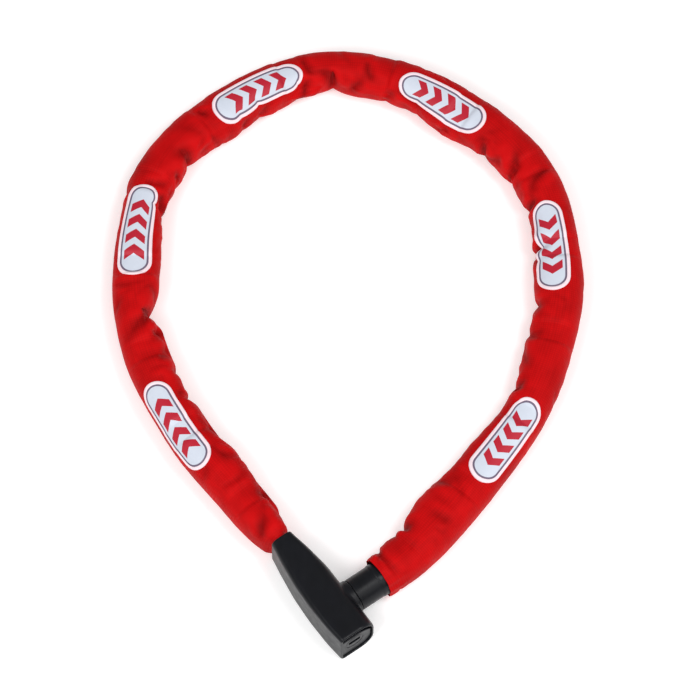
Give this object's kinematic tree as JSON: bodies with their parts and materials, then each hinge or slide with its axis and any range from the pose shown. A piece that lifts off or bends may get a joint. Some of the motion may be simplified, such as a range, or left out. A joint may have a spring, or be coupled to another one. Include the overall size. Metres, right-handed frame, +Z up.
{
  "type": "chain lock",
  "caption": "Square-link chain in a red woven sleeve with oblong badges, closed into a loop by a black T-shaped key lock and push-in ferrule.",
  "frame": {"origin": "middle of the flat underside of the lock body, on the plane that the lock and the loop lie on", "axes": "+Z up from that plane, +Y from the lock towards the far end of the loop, +X towards the ferrule's side of the lock"},
  "size_m": [0.2707, 0.3756, 0.0279],
  "materials": {
    "black_plastic": "moulded, satin, fine grain",
    "hardened_steel": "case-hardened and zinc plated",
    "zinc": "die cast",
    "brass": "machined",
    "red_fabric": "woven nylon, slight sheen",
    "white_badge": "flexible printed label"
  },
  "bodies": {
    "lock": {"jacket": "black_plastic", "end_cap": "black_plastic", "lock_core": "zinc", "cylinder_housing": "zinc", "anchor_pin": "hardened_steel", "sleeve_lock_end": "red_fabric", "link_01": "hardened_steel", "link_02": "hardened_steel"},
    "chain_1": {"sleeve_1": "red_fabric", "badge_1": "white_badge", "link_03": "hardened_steel", "link_04": "hardened_steel", "link_05": "hardened_steel", "link_06": "hardened_steel"},
    "chain_2": {"sleeve_2": "red_fabric", "badge_2": "white_badge", "link_07": "hardened_steel", "link_08": "hardened_steel", "link_09": "hardened_steel", "link_10": "hardened_steel", "link_11": "hardened_steel"},
    "chain_3": {"sleeve_3": "red_fabric", "badge_3": "white_badge", "link_12": "hardened_steel", "link_13": "hardened_steel", "link_14": "hardened_steel", "link_15": "hardened_steel"},
    "chain_4": {"sleeve_4": "red_fabric", "badge_4": "white_badge", "link_16": "hardened_steel", "link_17": "hardened_steel", "link_18": "hardened_steel", "link_19": "hardened_steel"},
    "chain_5": {"sleeve_5": "red_fabric", "badge_5": "white_badge", "link_20": "hardened_steel", "link_21": "hardened_steel", "link_22": "hardened_steel", "link_23": "hardened_steel", "link_24": "hardened_steel"},
    "chain_6": {"sleeve_6": "red_fabric", "badge_6": "white_badge", "link_25": "hardened_steel", "link_26": "hardened_steel", "link_27": "hardened_steel", "link_28": "hardened_steel"},
    "ferrule": {"locking_pin": "hardened_steel", "ferrule_cover": "black_plastic", "ferrule_pin": "hardened_steel", "sleeve_ferrule_end": "red_fabric", "link_29": "hardened_steel", "link_30": "hardened_steel"},
    "plug": {"plug": "brass", "cam": "hardened_steel", "wafer_1": "brass", "wafer_2": "brass", "wafer_3": "brass"},
    "latch": {"latch_bolt": "hardened_steel"}
  },
  "joints": [
    {"name": "chain_open", "type": "hinge", "parent": "lock", "child": "chain_1", "pos_m": [-0.04624, 0.0635, 0.0135], "axis": [0, 0, -1], "range_deg": [0, 10]},
    {"name": "chain_bend_2", "type": "hinge", "parent": "chain_1", "child": "chain_2", "pos_m": [-0.09979, 0.15675, 0.0135], "axis": [0, 0, 1], "range_deg": [0, 7.55]},
    {"name": "chain_bend_3", "type": "hinge", "parent": "chain_2", "child": "chain_3", "pos_m": [-0.07188, 0.28866, 0.0135], "axis": [0, 0, 1], "range_deg": [0, 10.02]},
    {"name": "chain_bend_4", "type": "hinge", "parent": "chain_3", "child": "chain_4", "pos_m": [0.02578, 0.32636, 0.0135], "axis": [0, 0, 1], "range_deg": [0, 4.53]},
    {"name": "chain_bend_5", "type": "hinge", "parent": "chain_4", "child": "chain_5", "pos_m": [0.11592, 0.27123, 0.0135], "axis": [0, 0, 1], "range_deg": [-2.36, 0]},
    {"name": "chain_bend_6", "type": "hinge", "parent": "chain_5", "child": "chain_6", "pos_m": [0.13068, 0.14702, 0.0135], "axis": [0, 0, 1], "range_deg": [-5.79, 0]},
    {"name": "chain_bend_7", "type": "hinge", "parent": "chain_6", "child": "ferrule", "pos_m": [0.07697, 0.05386, 0.0135], "axis": [0, 0, 1], "range_deg": [-3.95, 0]},
    {"name": "plug_turn", "type": "hinge", "parent": "lock", "child": "plug", "pos_m": [0, 0, 0.0135], "axis": [0.5807, -0.8141, 0], "range_deg": [0, 90]},
    {"name": "latch_slide", "type": "slide", "parent": "lock", "child": "latch", "axis": [0, 0, 1], "range_m": [0, 0.005]}
  ],
  "couplings": [
    {"joint": "chain_bend_2", "follows": "chain_open", "ratio": 0.7527},
    {"joint": "chain_bend_3", "follows": "chain_open", "ratio": 1},
    {"joint": "chain_bend_4", "follows": "chain_open", "ratio": 0.4509},
    {"joint": "chain_bend_5", "follows": "chain_open", "ratio": -0.2338},
    {"joint": "chain_bend_6", "follows": "chain_open", "ratio": -0.5769},
    {"joint": "chain_bend_7", "follows": "chain_open", "ratio": -0.3929},
    {"joint": "latch_slide", "follows": "plug_turn", "m_per_rad": 0.00315}
  ]
}
